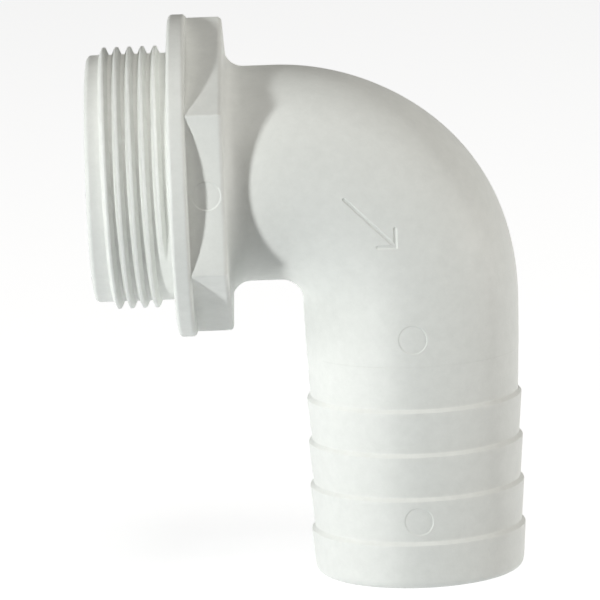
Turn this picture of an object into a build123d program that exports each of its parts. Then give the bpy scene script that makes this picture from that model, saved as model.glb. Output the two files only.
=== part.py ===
from build123d import *
import os
from math import sqrt

# A one-piece moulded 90 degree hose elbow for a hull or a tank wall. A threaded spigot goes
# through the wall, a round flange seats on it, a hexagon takes the spanner, and a bend leads
# to a barbed hose tail. The moulding is divided at its natural edges into sections that meet
# face to face. All sizes are in millimetres.
#
# Frame: the origin is on the spigot's axis, in the plane of the flange's seat. -X points out of
# the spigot's mouth, -Z out of the hose tail's mouth, and +Z is up. Both sides of the XZ plane
# are the same, apart from the right-hand thread.

os.makedirs("parts", exist_ok=True)

# ---- driving sizes ----

# Spigot with a G 1 1/2 pipe thread, moulded a little under its nominal 47.80
thread_major_d = 47.5
thread_depth = 1.35
thread_pitch = 25.4 / 11
thread_base_width = 1.65
thread_crest_width = 0.55
thread_crest_round = 0.2
thread_start_gap = 2.49  # from the mouth to the middle of the ridge, where it begins
thread_end_gap = 1.75  # from the seat back to the middle of the ridge, where it dies out
thread_end_angle = 127.0  # where it dies out, in degrees from +Z towards -Y
spigot_length = 15.0
spigot_wall = 3.4
nose_round = 0.9
mouth_chamfer = 0.6

# Flange and hexagon
flange_thickness = 3.2
flange_lip = 0.38  # how far the flange stands outside the hexagon's corners
wall_hole_clearance = 0.25  # all round the thread, in the hole of the wall that it goes through
seat_least_width = 4.0  # the flange bears on the wall over at least this, all round the hole
flange_edge_round = 0.5
hex_across_flats = 50.0
hex_length = 6.6
hex_corner_round = 0.3
hex_end_round = 0.7

# Tube from the hexagon to the hose tail
tube_wall = 3.5
neck_length = 8.9
neck_fillet = 3.0
neck_fillet_share = 0.8  # the most that the fillet takes of the ledge between flat and tube
inside_bend_radius = 3.95
shoulder_length = 9.7
shoulder_draw_in = 0.25  # the shoulder's radius shrinks by this on its way down
lead_length = 7.7  # the faster taper from the shoulder to the first barb

# Hose tail
tail_root_d = 37.9  # diameter between the barbs
tail_wall = 2.95
barb_count = 4
barb_pitch = 8.1
barb_height = 0.6
barb_step = 0.8  # axial length of the slanted face that holds the hose
barb_land = 0.45  # axial length of the narrow cylinder on the crest
end_barb_extra = 0.9  # the last barb runs on this much further
tail_end_round = 1.5

# ---- sizes that follow from them ----

thread_major_r = thread_major_d / 2
thread_minor_r = thread_major_r - thread_depth
thread_start_x = -spigot_length + thread_start_gap
thread_length = -thread_end_gap - thread_start_x
thread_sweep_angle = 360 * thread_length / thread_pitch
spigot_bore_r = thread_minor_r - spigot_wall

# The flange covers both the hexagon's corners and the seat around the wall's hole
hex_corner_r = hex_across_flats / sqrt(3)
wall_hole_r = thread_major_r + wall_hole_clearance
flange_r = max(hex_corner_r + flange_lip, wall_hole_r + seat_least_width + flange_edge_round)
hex_end_x = flange_thickness + hex_length

tail_root_r = tail_root_d / 2
barb_crest_r = tail_root_r + barb_height
passage_r = tail_root_r - tail_wall
tube_r = passage_r + tube_wall
shoulder_end_r = tube_r - shoulder_draw_in

# The neck's fillet lands on the hexagon's end face, inside its flats
neck_fillet_r = min(neck_fillet, neck_fillet_share * (hex_across_flats / 2 - tube_r))

bend_radius = tube_r + inside_bend_radius
bend_start_x = hex_end_x + neck_length
tail_x = bend_start_x + bend_radius
shoulder_z = -bend_radius
lead_z = shoulder_z - shoulder_length
first_barb_z = lead_z - lead_length

tail_axis = Axis((tail_x, 0, 0), (0, 0, 1))
bend_axis = Axis((bend_start_x, 0, -bend_radius), (0, 1, 0))
quarter_turn = 90


# ---- threaded spigot: plain nose, right-hand thread and a plain root band at the seat ----
# It runs on through the flange, where it is as wide as the wall's hole.

# The ridge alone, wound along +X from x = 0 and starting at +Z. Its foot reaches into the wall.
ridge_foot = 0.4
foot_half_width = thread_base_width / 2 + ridge_foot * (
    (thread_base_width - thread_crest_width) / 2 / thread_depth
)
crest_half_width = thread_crest_width / 2
run_out_reach = sqrt(thread_major_r**2 - thread_minor_r**2)
ridge_ends = [
    Location((0, 0, 0)),
    Location((thread_length, 0, 0), (thread_sweep_angle, 0, 0)),
]

with BuildPart() as thread_ridge:
    with BuildLine() as ridge_path:
        Helix(pitch=thread_pitch, height=thread_length, radius=thread_minor_r, direction=(1, 0, 0))
    ridge_plane = Plane(
        origin=ridge_path.line @ 0,
        x_dir=(0, 0, 1),
        z_dir=ridge_path.line % 0,
    )
    with BuildSketch(ridge_plane) as ridge_profile:
        with BuildLine():
            Polyline(
                (-ridge_foot, -foot_half_width),
                (thread_depth, -crest_half_width),
                (thread_depth, crest_half_width),
                (-ridge_foot, foot_half_width),
                close=True,
            )
        make_face()
        fillet(ridge_profile.vertices().group_by(Axis.X)[-1], radius=thread_crest_round)
    sweep(is_frenet=True)
    # At each end a flat that touches the root cylinder lets the ridge rise gently out of it
    with Locations(ridge_ends):
        with Locations((0, 0, thread_minor_r)):
            Box(
                thread_pitch,
                2 * run_out_reach,
                2 * thread_depth,
                align=(Align.CENTER, Align.CENTER, Align.MIN),
                mode=Mode.SUBTRACT,
            )

with BuildPart() as threaded_spigot:
    with BuildSketch(Plane.XZ):
        with BuildLine():
            Polyline(
                (-spigot_length, spigot_bore_r),
                (-spigot_length, thread_minor_r),
                (0, thread_minor_r),
                (0, wall_hole_r),
                (flange_thickness, wall_hole_r),
                (flange_thickness, spigot_bore_r),
                close=True,
            )
        make_face()
    revolve(axis=Axis.X)
    nose_edges = threaded_spigot.edges().group_by(Axis.X)[0].sort_by(SortBy.RADIUS)
    fillet(nose_edges[-1], radius=nose_round)
    chamfer(nose_edges[0], length=mouth_chamfer)
    with Locations((thread_start_x, 0, 0)):
        add(thread_ridge.part, rotation=(thread_end_angle - thread_sweep_angle, 0, 0))

threaded_spigot.part.label = "threaded_spigot"
export_step(threaded_spigot.part, "parts/threaded_spigot.step")


# ---- flange collar: the round rim that seats on the wall, around the hole ----

with BuildPart() as flange_collar:
    with BuildSketch(Plane.YZ):
        Circle(flange_r)
        Circle(wall_hole_r, mode=Mode.SUBTRACT)
    extrude(amount=flange_thickness)
    rim_edges = flange_collar.edges().filter_by(GeomType.CIRCLE).group_by(SortBy.RADIUS)[-1]
    fillet(rim_edges, radius=flange_edge_round)

flange_collar.part.label = "flange_collar"
export_step(flange_collar.part, "parts/flange_collar.step")


# ---- wrench hexagon: two of its flats face the sides, and the bore narrows inside it ----

with BuildPart() as wrench_hex:
    with BuildSketch(Plane.YZ.offset(flange_thickness)):
        RegularPolygon(radius=hex_corner_r, side_count=6, rotation=quarter_turn)
    extrude(amount=hex_length)
    fillet(wrench_hex.edges().filter_by(Axis.X), radius=hex_corner_round)
    fillet(wrench_hex.faces().sort_by(Axis.X)[-1].edges(), radius=hex_end_round)
    with BuildSketch(Plane.XZ):
        with BuildLine():
            Polyline(
                (flange_thickness, 0),
                (flange_thickness, spigot_bore_r),
                (hex_end_x, passage_r),
                (hex_end_x, 0),
                close=True,
            )
        make_face()
    revolve(axis=Axis.X, mode=Mode.SUBTRACT)

wrench_hex.part.label = "wrench_hex"
export_step(wrench_hex.part, "parts/wrench_hex.step")


# ---- neck: short straight tube, flared by a fillet where it leaves the hexagon ----

with BuildPart() as neck_tube:
    with BuildSketch(Plane.XZ):
        with BuildLine():
            flare_start = (hex_end_x, tube_r + neck_fillet_r)
            flare_end = (hex_end_x + neck_fillet_r, tube_r)
            TangentArc(flare_start, flare_end, tangent=(0, -1))
            Polyline(
                flare_end,
                (bend_start_x, tube_r),
                (bend_start_x, passage_r),
                (hex_end_x, passage_r),
                flare_start,
            )
        make_face()
    revolve(axis=Axis.X)

neck_tube.part.label = "neck_tube"
export_step(neck_tube.part, "parts/neck_tube.step")


# ---- bend: the ring-shaped section of the tube swung round the corner ----

with BuildPart() as elbow_bend:
    with BuildSketch(Plane.YZ.offset(bend_start_x)):
        Circle(tube_r)
        Circle(passage_r, mode=Mode.SUBTRACT)
    revolve(axis=bend_axis, revolution_arc=quarter_turn)

elbow_bend.part.label = "elbow_bend"
export_step(elbow_bend.part, "parts/elbow_bend.step")


# ---- tail shoulder: the tube below the bend, drawn in towards the first barb ----

with BuildPart() as tail_shoulder:
    with BuildSketch(Plane.XZ):
        with BuildLine():
            Polyline(
                (tail_x + passage_r, shoulder_z),
                (tail_x + tube_r, shoulder_z),
                (tail_x + shoulder_end_r, lead_z),
                (tail_x + tail_root_r, first_barb_z),
                (tail_x + passage_r, first_barb_z),
                close=True,
            )
        make_face()
    revolve(axis=tail_axis)

tail_shoulder.part.label = "tail_shoulder"
export_step(tail_shoulder.part, "parts/tail_shoulder.step")


# ---- hose barbs: each steps out to a narrow crest, then tapers towards the tail's mouth ----

for number in range(1, barb_count + 1):
    last = number == barb_count
    barb_top = first_barb_z - (number - 1) * barb_pitch
    barb_bottom = barb_top - barb_pitch - (end_barb_extra if last else 0)
    with BuildPart() as hose_barb:
        with BuildSketch(Plane.XZ):
            with BuildLine():
                Polyline(
                    (tail_x + passage_r, barb_top),
                    (tail_x + tail_root_r, barb_top),
                    (tail_x + barb_crest_r, barb_top - barb_step),
                    (tail_x + barb_crest_r, barb_top - barb_step - barb_land),
                    (tail_x + tail_root_r, barb_bottom),
                    (tail_x + passage_r, barb_bottom),
                    close=True,
                )
            make_face()
        revolve(axis=tail_axis)
        if last:
            end_edges = hose_barb.edges().group_by(Axis.Z)[0].sort_by(SortBy.RADIUS)
            fillet(end_edges[-1], radius=tail_end_round)
            chamfer(end_edges[0], length=mouth_chamfer)

    barb_name = f"hose_barb_{number}"
    hose_barb.part.label = barb_name
    export_step(hose_barb.part, f"parts/{barb_name}.step")
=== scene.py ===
import math

import bpy
import numpy as np
from mathutils import Matrix, Vector


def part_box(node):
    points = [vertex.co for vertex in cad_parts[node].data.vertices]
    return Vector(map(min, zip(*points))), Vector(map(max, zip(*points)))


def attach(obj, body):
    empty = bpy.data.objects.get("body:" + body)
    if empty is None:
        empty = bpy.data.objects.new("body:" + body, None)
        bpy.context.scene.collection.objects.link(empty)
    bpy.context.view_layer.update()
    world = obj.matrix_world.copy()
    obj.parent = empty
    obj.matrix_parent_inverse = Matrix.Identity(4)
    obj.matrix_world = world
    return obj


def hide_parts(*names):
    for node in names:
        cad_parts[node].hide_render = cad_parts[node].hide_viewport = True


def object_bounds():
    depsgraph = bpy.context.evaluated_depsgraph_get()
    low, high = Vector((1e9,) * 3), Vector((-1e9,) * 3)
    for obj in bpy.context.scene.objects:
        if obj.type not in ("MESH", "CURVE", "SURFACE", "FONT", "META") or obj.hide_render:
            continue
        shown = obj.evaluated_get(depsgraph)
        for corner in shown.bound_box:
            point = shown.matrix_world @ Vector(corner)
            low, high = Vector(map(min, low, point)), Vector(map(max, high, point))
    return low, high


# The visible model of a moulded 90 degree hose elbow with a threaded spigot. Each section of the
# moulding gets a fine mesh of its own, with rounded edges, a helical thread, mould marks and an
# engraved arrow. The near side is -Y, where the camera is.
# Lengths are in millimetres until a mesh is made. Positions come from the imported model's boxes.

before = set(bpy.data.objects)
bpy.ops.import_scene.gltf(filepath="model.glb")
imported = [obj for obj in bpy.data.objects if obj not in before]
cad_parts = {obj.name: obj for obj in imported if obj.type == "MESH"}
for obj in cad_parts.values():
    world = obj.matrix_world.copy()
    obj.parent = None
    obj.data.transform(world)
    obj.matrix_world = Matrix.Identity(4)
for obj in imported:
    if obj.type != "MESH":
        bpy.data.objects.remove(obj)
cad_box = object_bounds()

MM = 0.001
BODY = "root"
SLOT = "white_plastic"
X, Y, Z = range(3)
FULL_TURN = 2 * math.pi


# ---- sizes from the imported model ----

def low_corner(node):
    """The lowest corner of a CAD node's box."""
    return np.array(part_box(node)[0]) / MM


def high_corner(node):
    """The highest corner of a CAD node's box."""
    return np.array(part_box(node)[1]) / MM


barb_nodes = sorted(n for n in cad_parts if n.startswith("hose_barb"))

mouth_x = low_corner("threaded_spigot")[X]
wall_hole_r = high_corner("threaded_spigot")[Z]
flange_r = high_corner("flange_collar")[Z]
flange_x = high_corner("flange_collar")[X]
flat_distance = high_corner("wrench_hex")[Y]
hex_x = high_corner("wrench_hex")[X]
tube_r = high_corner("elbow_bend")[Y]
bend_x = high_corner("neck_tube")[X]
bend_radius = -low_corner("elbow_bend")[Z]
tail_x = bend_x + bend_radius
barb_crest_r = high_corner(barb_nodes[0])[Y]

# ---- sizes that the boxes don't show ----

THREAD_CLEARANCE = 0.25  # from the thread's crest to the hole in the wall
THREAD_DEPTH = 1.35
THREAD_PITCH = 25.4 / 11
THREAD_BASE, THREAD_CREST = 1.65, 0.55
THREAD_ROOT_ROUND, THREAD_CREST_ROUND = 0.14, 0.3
THREAD_FIRST_X = mouth_x + 2.49  # middle of the ridge where it begins
THREAD_LAST_X = -1.75  # and where it dies out, at THREAD_LAST_ANGLE from the top
THREAD_LAST_ANGLE = math.radians(127)
THREAD_RUN_OUT = math.radians(24)
SPIGOT_BORE_R = 19.0
PASSAGE_R = 16.0
NECK_FILLET = 3.5
BARB_HEIGHT = 0.6

thread_root_r = wall_hole_r - THREAD_CLEARANCE - THREAD_DEPTH
barb_root_r = barb_crest_r - BARB_HEIGHT


# ---- paths ----

SAME_POINT = 1e-6


def unit(vectors):
    return vectors / np.linalg.norm(vectors, axis=-1, keepdims=True)


def runs(corners, arc_steps=6):
    """Cuts a path of (along, radius[, rounding]) corners at its sharp corners, and rounds the others.
    Each run is an array of points and one of normals, which lie to the left of the path."""
    corners = [tuple(c) + (0.0,) * (3 - len(c)) for c in corners]
    found, points, normals = [], [], []

    def put(point, normal):
        if points and np.linalg.norm(points[-1] - point) < SAME_POINT:
            return
        points.append(point)
        normals.append(normal)

    for k in range(len(corners) - 1):
        start, end = np.array(corners[k][:2]), np.array(corners[k + 1][:2])
        direction = unit(end - start)
        left = np.array([-direction[1], direction[0]])
        put(start + direction * tangent_length(corners, k), left)
        put(end - direction * tangent_length(corners, k + 1), left)
        rounding = corners[k + 1][2]
        if rounding and k + 2 < len(corners):
            onward = unit(np.array(corners[k + 2][:2]) - end)
            turn = math.atan2(left @ onward, direction @ onward)
            side = math.copysign(1, turn)
            centre = points[-1] + side * rounding * left
            for share in np.linspace(0, 1, arc_steps + 1)[1:]:
                cosine, sine = math.cos(turn * share), math.sin(turn * share)
                normal = cosine * left - sine * direction
                put(centre - side * rounding * normal, normal)
        else:
            found.append((np.array(points), np.array(normals)))
            points, normals = [], []
    return found


def tangent_length(corners, k):
    """How far a corner's rounding reaches along the sides that meet there."""
    if k == 0 or k == len(corners) - 1 or not corners[k][2]:
        return 0.0
    before, here, after = (np.array(c[:2]) for c in corners[k - 1:k + 2])
    cosine = unit(here - before) @ unit(after - here)
    return corners[k][2] * math.tan(math.acos(np.clip(cosine, -1, 1)) / 2)


def divided(run, longest):
    """The run with points added, so that no step is longer than this."""
    points, normals = run
    out_points, out_normals = [points[0]], [normals[0]]
    for a, b, na, nb in zip(points, points[1:], normals, normals[1:]):
        steps = max(1, math.ceil(np.linalg.norm(b - a) / longest))
        for share in np.arange(1, steps + 1) / steps:
            out_points.append(a + (b - a) * share)
            out_normals.append(na + (nb - na) * share)
    return np.array(out_points), unit(np.array(out_normals))


# ---- places ----

def about_spigot(along, radius, angle):
    """Points about the spigot's axis. The angle is from the top towards the near side."""
    return np.stack([along, -radius * np.sin(angle), radius * np.cos(angle)], -1)


def about_tail(along, radius, angle):
    """Points about the tail's axis. Along is down from the spigot's axis, and the angle is from
    the outside of the bend towards the near side."""
    return np.stack([tail_x + radius * np.cos(angle), -radius * np.sin(angle), -along], -1)


def about_bend(turned, radius, angle):
    """Points about the bend's centreline, at an angle turned from the spigot towards the tail."""
    out = bend_radius + radius * np.cos(angle)
    return np.stack([
        bend_x + out * np.sin(turned),
        -radius * np.sin(angle),
        -bend_radius + out * np.cos(turned),
    ], -1)


def directions(place, along, angle, parts):
    """Normals of (along, outward, around) parts, turned into the frame at that place."""
    zero = np.zeros_like(along)
    outward = place(along, zero + 1, angle) - place(along, zero, angle)
    around = place(along, zero + 1, angle + math.pi / 2) - place(along, zero, angle)
    forward = np.cross(outward, around)
    return unit(parts[0][..., None] * forward + parts[1][..., None] * outward
                + parts[2][..., None] * around)


# ---- mesh making ----

WELD_DECIMALS = 5  # points that agree this far are one point


class Shell:
    """Grids of points with normals, which become one mesh, welded where their points agree. Where
    a relief reaches a section's end, its height is left as a hair-thin step."""

    def __init__(self):
        self.points, self.normals, self.faces, self.count = [], [], [], 0

    def grid(self, points, normals, relief=None):
        """Rows follow a path with the solid on its right, and columns go round it."""
        if relief:
            points, normals = embossed(points, normals, relief)
        rows, columns = points.shape[:2]
        index = self.count + np.arange(rows * columns).reshape(rows, columns)
        self.faces.append(np.stack(
            [index[:-1, :-1], index[:-1, 1:], index[1:, 1:], index[1:, :-1]], -1).reshape(-1, 4))
        self.points.append(points.reshape(-1, 3))
        self.normals.append(normals.reshape(-1, 3))
        self.count += rows * columns

    def turned(self, place, run, angles, relief=None, longest=None):
        """A run turned about an axis."""
        points, normals = divided(run, longest) if longest else run
        along, angle = np.meshgrid(points[:, 0], angles, indexing="ij")
        radius = np.repeat(points[:, 1:2], len(angles), 1)
        parts = [np.repeat(normals[:, k:k + 1], len(angles), 1) for k in (0, 1)]
        self.grid(place(along, radius, angle),
                  directions(place, along, angle, [*parts, np.zeros_like(along)]), relief)

    def mesh(self, name):
        """The mesh in metres. A face whose corners are welded together becomes a triangle or goes."""
        points = np.round(np.concatenate(self.points), WELD_DECIMALS) + 0.0
        normals = np.concatenate(self.normals)
        welded, index = np.unique(points, axis=0, return_inverse=True)
        index = index.reshape(-1)
        sides, corner_normals = [], []
        for face in np.concatenate(self.faces):
            corners = [c for k, c in enumerate(face) if index[c] != index[face[k - 1]]]
            if len({index[c] for c in corners}) == len(corners) > 2:
                sides.append([int(index[c]) for c in corners])
                corner_normals.extend(normals[c] for c in corners)
        mesh = bpy.data.meshes.new(name)
        mesh.from_pydata((welded * MM).tolist(), [], sides)
        mesh.polygons.foreach_set("use_smooth", [True] * len(sides))
        mesh.normals_split_custom_set(np.array(corner_normals).tolist())
        mesh.validate(clean_customdata=False)
        return mesh


def embossed(points, normals, relief, nudge=0.01):
    """The grid moved along its normals by a relief, which is a function of the place. The normals
    tilt with the relief's slope, which is measured over a small nudge to each side."""
    # any direction well away from the normal
    other_way = np.where(np.abs(normals[..., 1:2]) < 0.9, [0.0, 1.0, 0.0], [1.0, 0.0, 0.0])
    first = unit(np.cross(normals, other_way))
    second = np.cross(normals, first)
    tilted = normals.copy()
    for tangent in (first, second):
        rise = relief(points + nudge * tangent) - relief(points - nudge * tangent)
        tilted = tilted - (rise / (2 * nudge))[..., None] * tangent
    return points + relief(points)[..., None] * normals, unit(tilted)


# ---- relief: the mould's own marks ----

PARTING_HEIGHT, PARTING_WIDTH = 0.045, 0.1
PIN_RADIUS, PIN_DEPTH, PIN_EDGE = 2.55, 0.12, 0.24
ARROW_TURN = math.radians(45)  # how far round the bend its middle is
ARROW_LENGTH, ARROW_HEAD, ARROW_DEPTH = 12.5, 3.2, 0.2
STROKE_HALF_WIDTH, STROKE_EDGE = 0.14, 0.26
BEND_SWELL = 0.5


def smooth(value):
    """0 up to 0, 1 from 1, and a smooth step between them."""
    value = np.clip(value, 0, 1)
    return value * value * (3 - 2 * value)


def parting_line(points):
    """The thin line where the two halves of the mould meet."""
    return PARTING_HEIGHT * np.exp(-(points[..., Y] / PARTING_WIDTH) ** 2)


def pin_mark(x, z):
    """A shallow round recess on the near side, left by an ejector pin."""
    def relief(points):
        away = np.hypot(points[..., X] - x, points[..., Z] - z)
        near = points[..., Y] < 0
        return -PIN_DEPTH * near * smooth((PIN_RADIUS - away) / PIN_EDGE + 0.5)
    return relief


def arrow(points):
    """An engraved arrow on the near side, along the bend's centreline and towards the tail."""
    centre = np.array([bend_x, -bend_radius]) + bend_radius * np.array(
        [math.sin(ARROW_TURN), math.cos(ARROW_TURN)])
    forward = np.array([math.cos(ARROW_TURN), -math.sin(ARROW_TURN)])
    sideways = np.array([forward[1], -forward[0]])
    from_centre = points[..., [X, Z]] - centre
    ahead, aside = from_centre @ forward, np.abs(from_centre @ sideways)
    tip = ARROW_LENGTH / 2
    from_shaft = np.hypot(np.maximum(np.abs(ahead) - tip, 0), aside)
    back = np.array([-1, 1]) / math.sqrt(2)
    reach = np.clip((ahead - tip) * back[0] + aside * back[1], 0, ARROW_HEAD)
    from_head = np.hypot(ahead - tip - reach * back[0], aside - reach * back[1])
    away = np.minimum(from_shaft, from_head)
    near = points[..., Y] < 0
    return -ARROW_DEPTH * near * smooth((STROKE_HALF_WIDTH + STROKE_EDGE - away) / STROKE_EDGE)


def bend_swell(points):
    """The mould is a little fuller on the outside of the bend, most of all 55 degrees round it."""
    from_corner = points[..., [X, Z]] - [bend_x, -bend_radius]
    outside = np.linalg.norm(from_corner, axis=-1) - bend_radius
    turned = np.clip(np.arctan2(from_corner[..., 0], from_corner[..., 1]), 0, math.pi / 2)
    share = 27 / 4 * np.sin(turned) ** 4 * np.cos(turned) ** 2  # 1 at its highest
    return BEND_SWELL * smooth(outside / tube_r) * share


def reliefs(*several):
    """Several reliefs as one."""
    return lambda points: sum(one(points) for one in several)


# ---- columns: the angles of the grids' points ----

COLUMN_STEP_DEGREES = 1.5
BESIDE_PARTING_DEGREES = (0.12, 0.25, 0.4, 0.6)
ANGLE_DECIMALS = 7
PIN_REACH = PIN_RADIUS + 2 * PIN_EDGE
PIN_SPACING = 0.13  # of the points over a pin mark
ARROW_SPACING = 0.12  # and over the arrow
MARKED_ROW_SPACING = 0.14


def round_columns():
    """Angles all the way round, closer together at the parting line. Every round grid has them."""
    beside = np.radians(BESIDE_PARTING_DEGREES)
    angles = [np.radians(np.arange(0, 360 + COLUMN_STEP_DEGREES / 2, COLUMN_STEP_DEGREES))]
    for seam in (0, math.pi, FULL_TURN):
        angles += [seam + beside, seam - beside]
    angles = np.unique(np.round(np.concatenate(angles), ANGLE_DECIMALS))
    return angles[(angles >= 0) & (angles <= FULL_TURN)]


def near_side_columns(half_width, spacing):
    """The same columns, and finer ones within this angle of the middle of the near side."""
    fine = np.arange(math.pi / 2 - half_width, math.pi / 2 + half_width, spacing)
    return np.unique(np.round(np.concatenate([round_columns(), fine]), ANGLE_DECIMALS))


def pin_columns(radius):
    """The same columns, and finer ones over a pin mark at this radius."""
    return near_side_columns(PIN_REACH / radius, PIN_SPACING / radius)


# ---- white plastic ----

def plastic():
    """Matte white plastic off a finely sparked mould, with faint cloudiness from the moulding."""
    material = bpy.data.materials.new(SLOT)
    material.use_nodes = True
    nodes, links = material.node_tree.nodes, material.node_tree.links
    shader = nodes["Principled BSDF"]
    shader.inputs["IOR"].default_value = 1.49
    place = nodes.new("ShaderNodeTexCoord")

    def noise(scale, detail=3.0, roughness=0.55):
        node = nodes.new("ShaderNodeTexNoise")
        node.inputs["Scale"].default_value = scale
        node.inputs["Detail"].default_value = detail
        node.inputs["Roughness"].default_value = roughness
        links.new(place.outputs["Object"], node.inputs["Vector"])
        return node.outputs["Fac"]

    def spread(source, low, high):
        """The middle of a noise's range, spread from low to high."""
        node = nodes.new("ShaderNodeMapRange")
        node.inputs["From Min"].default_value = 0.3
        node.inputs["From Max"].default_value = 0.7
        node.inputs["To Min"].default_value = low
        node.inputs["To Max"].default_value = high
        links.new(source, node.inputs["Value"])
        return node.outputs["Result"]

    def mixed(factor, first, second):
        node = nodes.new("ShaderNodeMix")
        node.data_type = "RGBA"
        node.inputs["A"].default_value = (*first, 1)
        node.inputs["B"].default_value = (*second, 1)
        links.new(factor, node.inputs["Factor"])
        return node.outputs["Result"]

    def bumped(source, strength, distance, before=None):
        node = nodes.new("ShaderNodeBump")
        node.inputs["Strength"].default_value = strength
        node.inputs["Distance"].default_value = distance
        links.new(source, node.inputs["Height"])
        if before:
            links.new(before, node.inputs["Normal"])
        return node.outputs["Normal"]

    darker, lighter = (0.795, 0.805, 0.775), (0.855, 0.865, 0.835)
    cloudy = mixed(spread(noise(420, detail=8.0, roughness=0.75), 0, 1), darker, lighter)
    links.new(cloudy, shader.inputs["Base Color"])
    links.new(spread(noise(260), 0.44, 0.6), shader.inputs["Roughness"])
    waves = bumped(noise(110, detail=5.0, roughness=0.6), 0.5, 0.00012)
    grain = bumped(noise(2200), 0.5, 0.00005, before=waves)
    links.new(grain, shader.inputs["Normal"])
    return material


white_plastic = plastic()


def piece(node, shell):
    """One visible section of the moulding, in place of its CAD node."""
    name = node + "_moulded"
    shown = bpy.data.objects.new(name, shell.mesh(name))
    bpy.context.scene.collection.objects.link(shown)
    shown.data.materials.append(white_plastic)
    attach(shown, BODY)
    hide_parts(node)


# ---- threaded spigot ----

NOSE_ROUND = 0.9
MOUTH_ROUND = 0.5
SEAT_FILLET = 0.3
SPARE_LAPS = 12  # each way from the last lap, more than the spigot is long


def ridge_profile():
    """One pitch of the thread, from root to root."""
    half = THREAD_PITCH / 2
    (profile,) = runs([
        (-half, 0),
        (-THREAD_BASE / 2, 0, THREAD_ROOT_ROUND),
        (-THREAD_CREST / 2, THREAD_DEPTH, THREAD_CREST_ROUND),
        (THREAD_CREST / 2, THREAD_DEPTH, THREAD_CREST_ROUND),
        (THREAD_BASE / 2, 0, THREAD_ROOT_ROUND),
        (half, 0),
    ], arc_steps=5)
    return profile


def thread_height(turns, last):
    """How much of the ridge stands at this many turns from its start, and how fast it changes."""
    ramp = THREAD_RUN_OUT / FULL_TURN
    rise, fall = turns / ramp, (last - turns) / ramp
    share = np.clip(np.minimum(rise, fall), 0, 1)
    slope = np.where(rise < fall, 1, -1) * ((share > 0) & (share < 1)) / ramp
    return smooth(share), 6 * share * (1 - share) * slope


def thread_grid(shell, columns, start_x, end_x):
    """The root cylinder with the ridge on it. Its rows wind along with the ridge, and those past
    the start or the end are cut off there."""
    points, normals = ridge_profile()
    turns = (THREAD_LAST_X - THREAD_FIRST_X) / THREAD_PITCH
    top_of_last_lap = turns - THREAD_LAST_ANGLE / FULL_TURN
    laps = np.arange(-SPARE_LAPS, SPARE_LAPS)
    along, height = np.tile(points, (len(laps), 1)).T[..., None]
    normal_along, normal_out = np.tile(normals, (len(laps), 1)).T[..., None]
    wound = top_of_last_lap + np.repeat(laps, len(points))[:, None] + columns / FULL_TURN
    share, change = thread_height(wound, turns)

    x = np.clip(THREAD_FIRST_X + THREAD_PITCH * wound + along, start_x, end_x)
    radius = thread_root_r + share * height
    angle = np.broadcast_to(columns, x.shape)
    part_x, part_out = share * normal_along, np.broadcast_to(normal_out, x.shape)
    lead, climb = THREAD_PITCH / FULL_TURN, height * change / FULL_TURN
    part_round = -(part_x * lead + part_out * climb) / radius

    keep = ((x > start_x) | (np.roll(x, -1, 0) > start_x)).any(1)
    keep &= ((x < end_x) | (np.roll(x, 1, 0) < end_x)).any(1)
    shell.grid(
        about_spigot(x, radius, angle)[keep],
        directions(about_spigot, x, angle, [part_x, part_out, part_round])[keep],
        parting_line,
    )


def make_spigot():
    shell = Shell()
    columns = round_columns()
    plain_start = mouth_x + NOSE_ROUND
    plain_end = -SEAT_FILLET
    thread_grid(shell, columns, plain_start, plain_end)
    for run in runs([
        (plain_end, thread_root_r),
        (0, thread_root_r, SEAT_FILLET),
        (0, wall_hole_r),
        (flange_x, wall_hole_r),
        (flange_x, SPIGOT_BORE_R),
        (mouth_x, SPIGOT_BORE_R, MOUTH_ROUND),
        (mouth_x, thread_root_r, NOSE_ROUND),
        (plain_start, thread_root_r),
    ]):
        shell.turned(about_spigot, run, columns)
    piece("threaded_spigot", shell)


# ---- flange ----

FLANGE_ROUND = 0.75


def make_flange():
    shell = Shell()
    columns = round_columns()
    for run in runs([
        (0, wall_hole_r),
        (0, flange_r, FLANGE_ROUND),
        (flange_x, flange_r, FLANGE_ROUND),
        (flange_x, wall_hole_r),
        (0, wall_hole_r),
    ], arc_steps=8):
        shell.turned(about_spigot, run, columns)
    piece("flange_collar", shell)


# ---- hexagon ----

HEX_CORNER_ROUND = 0.55
HEX_LEAST_CORNER_ROUND = 0.2
HEX_END_ROUND = 0.9
HEX_FOOT_FILLET = 0.12
FLAT_COLUMNS = 24
NEAR_FLAT = 1  # counted round from the top corner


def flat_shares(marked):
    """Where a flat's columns lie, as shares of its width. They are finer over the pin mark."""
    plain = np.arange(1, FLAT_COLUMNS) / FLAT_COLUMNS
    if not marked:
        return plain
    side = 2 * flat_distance * math.tan(math.pi / 6)
    reach = PIN_REACH / side
    fine = np.arange(0.5 - reach, 0.5 + reach, PIN_SPACING / side)
    return np.unique(np.concatenate([plain, fine]))


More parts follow.
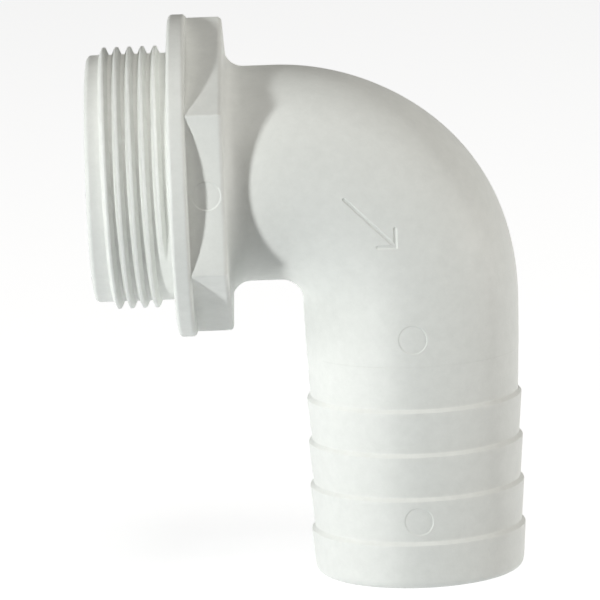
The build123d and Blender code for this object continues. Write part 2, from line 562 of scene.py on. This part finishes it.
def hexagon(inset):
    """Points and normals round a hexagon with rounded corners, as (near, up) pairs that start at
    the top corner."""
    distance = flat_distance - inset
    rounding = max(HEX_CORNER_ROUND - inset, HEX_LEAST_CORNER_ROUND)
    to_arc = (distance - rounding) / math.cos(math.pi / 6)
    arc = np.radians(np.linspace(-30, 30, 9))
    points, normals = [], []

    def at(angle):
        return np.stack([np.sin(angle), np.cos(angle)], -1)

    for k in range(6):
        corner = k * math.pi / 3
        flat, following = corner + math.pi / 6, corner + math.pi / 3
        arc_normals = at(corner + arc)
        points.append(to_arc * at(corner) + rounding * arc_normals)
        normals.append(arc_normals)
        start, end = points[-1][-1], to_arc * at(following) + rounding * at(flat)
        shares = flat_shares(marked=k == NEAR_FLAT)[:, None]
        points.append(start + (end - start) * shares)
        normals.append(np.repeat(at(flat)[None], len(shares), 0))
    points, normals = np.concatenate(points), np.concatenate(normals)
    return np.concatenate([points, points[:1]]), np.concatenate([normals, normals[:1]])


def hexagon_row(x, inset, lean):
    """One row of the hexagon's side. Its normals lean this far from outward towards the neck."""
    def standing(x, outline):
        return np.stack([np.full(len(outline), x), -outline[:, 0], outline[:, 1]], -1)

    outline, outward = hexagon(inset)
    return standing(x, outline), standing(math.sin(lean), outward * math.cos(lean))


def hexagon_side(middle):
    """The hexagon's rows from the flange: the fillet at its foot, its flats and its rounded end."""
    flat_start, flat_end = flange_x + HEX_FOOT_FILLET, hex_x - HEX_END_ROUND
    rows = []
    for lean in np.radians(np.linspace(90, 0, 6)):
        rows.append(hexagon_row(flat_start - HEX_FOOT_FILLET * math.sin(lean),
                                -HEX_FOOT_FILLET * (1 - math.cos(lean)), lean))
    marked_start, marked_end = max(flat_start, middle - PIN_REACH), min(flat_end, middle + PIN_REACH)
    for x in np.arange(marked_start, marked_end, PIN_SPACING):
        rows.append(hexagon_row(x, 0, 0))
    for lean in np.radians(np.linspace(0, 90, 9)):
        rows.append(hexagon_row(flat_end + HEX_END_ROUND * math.sin(lean),
                                HEX_END_ROUND * (1 - math.cos(lean)), lean))
    points, normals = zip(*rows)
    return np.array(points), np.array(normals)


def hexagon_end(shell, x, outline, radius, angles, facing):
    """The flat ring from the hexagon's outline in to a circle with its points at these angles. It
    faces the neck (1) or the flange (-1)."""
    inner = about_spigot(np.full(len(angles), x), radius, angles)
    shares = np.linspace(0, 1, 4)[:, None, None]
    sheet = outline * (1 - shares) + inner * shares
    if facing < 0:
        sheet = sheet[::-1]
    shell.grid(sheet, np.broadcast_to([facing, 0.0, 0.0], sheet.shape))


def make_hexagon():
    shell = Shell()
    middle = (flange_x + hex_x) / 2
    points, normals = hexagon_side(middle)
    shell.grid(points, normals, pin_mark(middle, 0))
    neck_r = tube_r + NECK_FILLET
    angles = np.unwrap(np.arctan2(-points[-1, :, Y], points[-1, :, Z]))
    hexagon_end(shell, hex_x, points[-1], neck_r, angles, facing=1)
    hexagon_end(shell, flange_x, points[0], SPIGOT_BORE_R, angles, facing=-1)
    for run in runs([(hex_x, neck_r), (hex_x, PASSAGE_R), (flange_x, SPIGOT_BORE_R)]):
        shell.turned(about_spigot, run, angles)
    piece("wrench_hex", shell)


# ---- neck and bend ----

BEND_ROWS = 76
ARROW_MARGIN_ALONG, ARROW_MARGIN_ACROSS = 1.0, 1.6  # of the fine grid round the arrow


def make_tube_section(node, place, path, relief, columns, arc_steps=8, longest=None):
    """A straight section of the tube. Its path goes out across the first end, along the outside,
    in across the other end and back along the bore. Only the outside takes the relief and the
    limit on its rows' spacing."""
    shell = Shell()
    first_end, outside, *rest = runs(path, arc_steps)
    shell.turned(place, first_end, columns)
    shell.turned(place, outside, columns, relief, longest)
    for run in rest:
        shell.turned(place, run, columns)
    piece(node, shell)


def make_neck():
    path = [
        (hex_x, PASSAGE_R),
        (hex_x, tube_r + NECK_FILLET),
        (hex_x, tube_r, NECK_FILLET),
        (bend_x, tube_r),
        (bend_x, PASSAGE_R),
        (hex_x, PASSAGE_R),
    ]
    make_tube_section("neck_tube", about_spigot, path, parting_line, round_columns(), arc_steps=20)


def make_bend():
    shell = Shell()
    half_width = (ARROW_HEAD / math.sqrt(2) + ARROW_MARGIN_ACROSS) / tube_r
    columns = near_side_columns(half_width, ARROW_SPACING / tube_r)
    reach = (ARROW_LENGTH / 2 + ARROW_MARGIN_ALONG) / bend_radius
    coarse = np.linspace(0, math.pi / 2, BEND_ROWS)
    fine = np.arange(ARROW_TURN - reach, ARROW_TURN + reach, ARROW_SPACING / bend_radius)
    rows = np.unique(np.round(np.concatenate([coarse, fine]), ANGLE_DECIMALS))
    rows[-1] = math.pi / 2

    def tube(radius, turns, sign, relief=None):
        """The tube's wall at a radius, facing outwards (1) or inwards (-1)."""
        turned, angle = np.meshgrid(turns, columns, indexing="ij")
        points = about_bend(turned, radius, angle)
        outward = (points - about_bend(turned, 0, angle)) / radius
        shell.grid(points, sign * outward, relief)

    def cap(turned, forwards):
        """The flat ring across the tube, facing forwards (1) or backwards (-1)."""
        radii = np.array([PASSAGE_R, tube_r])[::-forwards]
        radius, angle = np.meshgrid(radii, columns, indexing="ij")
        points = about_bend(turned, radius, angle)
        normal = forwards * np.array([math.cos(turned), 0.0, -math.sin(turned)])
        shell.grid(points, np.broadcast_to(normal, points.shape))

    tube(tube_r, rows, 1, reliefs(parting_line, arrow, bend_swell))
    cap(math.pi / 2, 1)
    tube(PASSAGE_R, coarse[::-1], -1)
    cap(0, -1)
    piece("elbow_bend", shell)


# ---- tail ----

SHOULDER_PLAIN = 2.0  # before it starts to draw in
SHOULDER_START_ROUND = 40.0
SHOULDER_LEDGE_START = 33.15  # down the tail, where the faster taper begins
SHOULDER_LEDGE = 0.05
SHOULDER_LEDGE_LENGTH = 0.2
SHOULDER_LEDGE_ROUND = 0.1
SHOULDER_DRAW_IN = 0.25

MARKED_BARB = "hose_barb_3"
MARK_BELOW_MIDDLE = 0.5
BARB_VALLEY = 0.2  # the plain stretch before the step
BARB_STEP_END = 0.85
BARB_LAND_END = 1.25
BARB_VALLEY_ROUND, BARB_CREST_ROUND, BARB_LAND_ROUND = 0.35, 0.16, 0.6
TAIL_END_ROUND = 1.5
TAIL_END_STOP = 1.2 * TAIL_END_ROUND  # in from the root, where the outside stops


def tail_span(node):
    """Where a section of the tail starts and ends, down from the spigot's axis."""
    return -high_corner(node)[Z], -low_corner(node)[Z]


def make_shoulder():
    start, end = tail_span("tail_shoulder")
    ledge_r = tube_r - SHOULDER_DRAW_IN
    path = [
        (start, PASSAGE_R),
        (start, tube_r),
        (start + SHOULDER_PLAIN, tube_r, SHOULDER_START_ROUND),
        (SHOULDER_LEDGE_START, ledge_r + SHOULDER_LEDGE, SHOULDER_LEDGE_ROUND),
        (SHOULDER_LEDGE_START + SHOULDER_LEDGE_LENGTH, ledge_r, SHOULDER_LEDGE_ROUND),
        (end, barb_root_r),
        (end, PASSAGE_R),
        (start, PASSAGE_R),
    ]
    relief = reliefs(parting_line, pin_mark(tail_x, -(start + SHOULDER_LEDGE_START) / 2))
    make_tube_section("tail_shoulder", about_tail, path, relief, pin_columns(tube_r),
                      longest=MARKED_ROW_SPACING)


def barb_path(start, end, last):
    """Out to the root, up the step, along the land and down to the root again. The last barb's end
    is rounded, and the outside stops just past the rounding, where the parting line stops too."""
    path = [
        (start, PASSAGE_R),
        (start, barb_root_r),
        (start + BARB_VALLEY, barb_root_r, BARB_VALLEY_ROUND),
        (start + BARB_STEP_END, barb_crest_r, BARB_CREST_ROUND),
        (start + BARB_LAND_END, barb_crest_r, BARB_LAND_ROUND),
    ]
    if last:
        path += [
            (end, barb_root_r, TAIL_END_ROUND),
            (end, barb_root_r - TAIL_END_STOP),
            (end, PASSAGE_R, MOUTH_ROUND),
        ]
    else:
        path += [(end, barb_root_r), (end, PASSAGE_R)]
    return [*path, (start, PASSAGE_R)]


def make_barb(node):
    start, end = tail_span(node)
    relief, columns, longest = parting_line, round_columns(), None
    if node == MARKED_BARB:
        mark = pin_mark(tail_x, -(start + end) / 2 - MARK_BELOW_MIDDLE)
        relief, columns = reliefs(parting_line, mark), pin_columns(barb_crest_r)
        longest = MARKED_ROW_SPACING
    path = barb_path(start, end, last=node == barb_nodes[-1])
    make_tube_section(node, about_tail, path, relief, columns, longest=longest)


make_spigot()
make_flange()
make_hexagon()
make_neck()
make_bend()
make_shoulder()
for node in barb_nodes:
    make_barb(node)


# ---- floor, lights and camera ----

COOL, WARM, WHITE = (0.97, 1.0, 0.995), (1.0, 0.98, 0.935), (1.0, 1.0, 1.0)
BELOW_AND_BEHIND = (0, 0.5, -0.87)
middle_of_object = (Vector(cad_box[0]) + Vector(cad_box[1])) / 2


def make_floor():
    """A pale table top, which ends far outside every view. It is only a background: the light
    that a pale floor would throw back comes from the lower half of the sky."""
    radius, sides = 6.0, 96
    angles = np.linspace(0, FULL_TURN, sides, endpoint=False)
    height = cad_box[0][Z]
    rim = [(radius * math.cos(a), radius * math.sin(a), height) for a in angles]
    mesh = bpy.data.meshes.new("floor")
    mesh.from_pydata(rim, [], [list(range(sides))])
    floor = bpy.data.objects.new("floor", mesh)
    bpy.context.scene.collection.objects.link(floor)
    material = bpy.data.materials.new("floor")
    material.use_nodes = True
    shader = material.node_tree.nodes["Principled BSDF"]
    shader.inputs["Base Color"].default_value = (0.5, 0.5, 0.5, 1)
    shader.inputs["Roughness"].default_value = 0.9
    shader.inputs["Specular IOR Level"].default_value = 0.0
    shader.inputs["Emission Color"].default_value = (1, 1, 1, 1)
    shader.inputs["Emission Strength"].default_value = 0.82
    mesh.materials.append(material)
    floor.visible_diffuse = False
    floor.visible_shadow = False


def make_sky():
    """The glow of a white sweep below and behind the object. The rest of the room is dim."""
    world = bpy.data.worlds.new("studio")
    bpy.context.scene.world = world
    world.use_nodes = True
    nodes, links = world.node_tree.nodes, world.node_tree.links
    place = nodes.new("ShaderNodeTexCoord")
    towards_sweep = nodes.new("ShaderNodeVectorMath")
    towards_sweep.operation = "DOT_PRODUCT"
    towards_sweep.inputs[1].default_value = BELOW_AND_BEHIND
    ramp = nodes.new("ShaderNodeMapRange")
    ramp.inputs["From Min"].default_value = 0.25
    ramp.inputs["From Max"].default_value = 0.6
    ramp.inputs["To Min"].default_value = 0.03
    ramp.inputs["To Max"].default_value = 0.95
    nodes["Background"].inputs["Color"].default_value = (0.97, 1.0, 1.0, 1)
    links.new(place.outputs["Generated"], towards_sweep.inputs[0])
    links.new(towards_sweep.outputs["Value"], ramp.inputs["Value"])
    links.new(ramp.outputs["Result"], nodes["Background"].inputs["Strength"])


def direction_at(azimuth, elevation):
    """The way from the object to something at that azimuth (from the near side towards the tail
    side) and elevation, in degrees."""
    azimuth, elevation = math.radians(azimuth), math.radians(elevation)
    return Vector((math.sin(azimuth) * math.cos(elevation),
                   -math.cos(azimuth) * math.cos(elevation), math.sin(elevation)))


def make_lamp(name, azimuth, elevation, distance, size, power, colour):
    """A square lamp that shines on the middle of the object."""
    data = bpy.data.lights.new(name, "AREA")
    data.shape = "SQUARE"
    data.color = colour
    data.size = size
    data.energy = power
    lamp = bpy.data.objects.new(name, data)
    bpy.context.scene.collection.objects.link(lamp)
    direction = direction_at(azimuth, elevation)
    lamp.matrix_world = (Matrix.Translation(middle_of_object + direction * distance)
                         @ direction.to_track_quat("Z", "Y").to_matrix().to_4x4())


def make_camera():
    """A long lens from the near side, a little above the object and slightly rolled."""
    back = direction_at(azimuth=0.97, elevation=10.11)
    distance = 0.994
    roll = math.radians(-2.25)
    aim = middle_of_object + Vector((-1.39 * MM, 0, -1.24 * MM))
    right = Vector((-back.y, back.x, 0)).normalized()
    up = back.cross(right)
    rolled_right = right * math.cos(roll) + up * math.sin(roll)
    rolled_up = up * math.cos(roll) - right * math.sin(roll)
    turn = Matrix((rolled_right, rolled_up, back)).transposed().to_4x4()
    data = bpy.data.cameras.new("camera")
    data.lens = 327.4
    data.sensor_width = 36
    data.clip_start, data.clip_end = 0.01, 50
    camera = bpy.data.objects.new("camera", data)
    bpy.context.scene.collection.objects.link(camera)
    camera.matrix_world = Matrix.Translation(aim + back * distance) @ turn
    bpy.context.scene.camera = camera


make_floor()
make_sky()
make_lamp("key", azimuth=-41, elevation=2, distance=1.6, size=0.14, power=17.0, colour=COOL)
make_lamp("overhead", azimuth=3, elevation=65, distance=1.2, size=0.6, power=5.3, colour=WARM)
make_lamp("right", azimuth=88, elevation=6, distance=1.2, size=0.4, power=6.6, colour=WARM)
make_lamp("left", azimuth=-92, elevation=6, distance=1.2, size=0.4, power=3.6, colour=WHITE)
make_camera()
bpy.context.scene.view_settings.view_transform = "Standard"
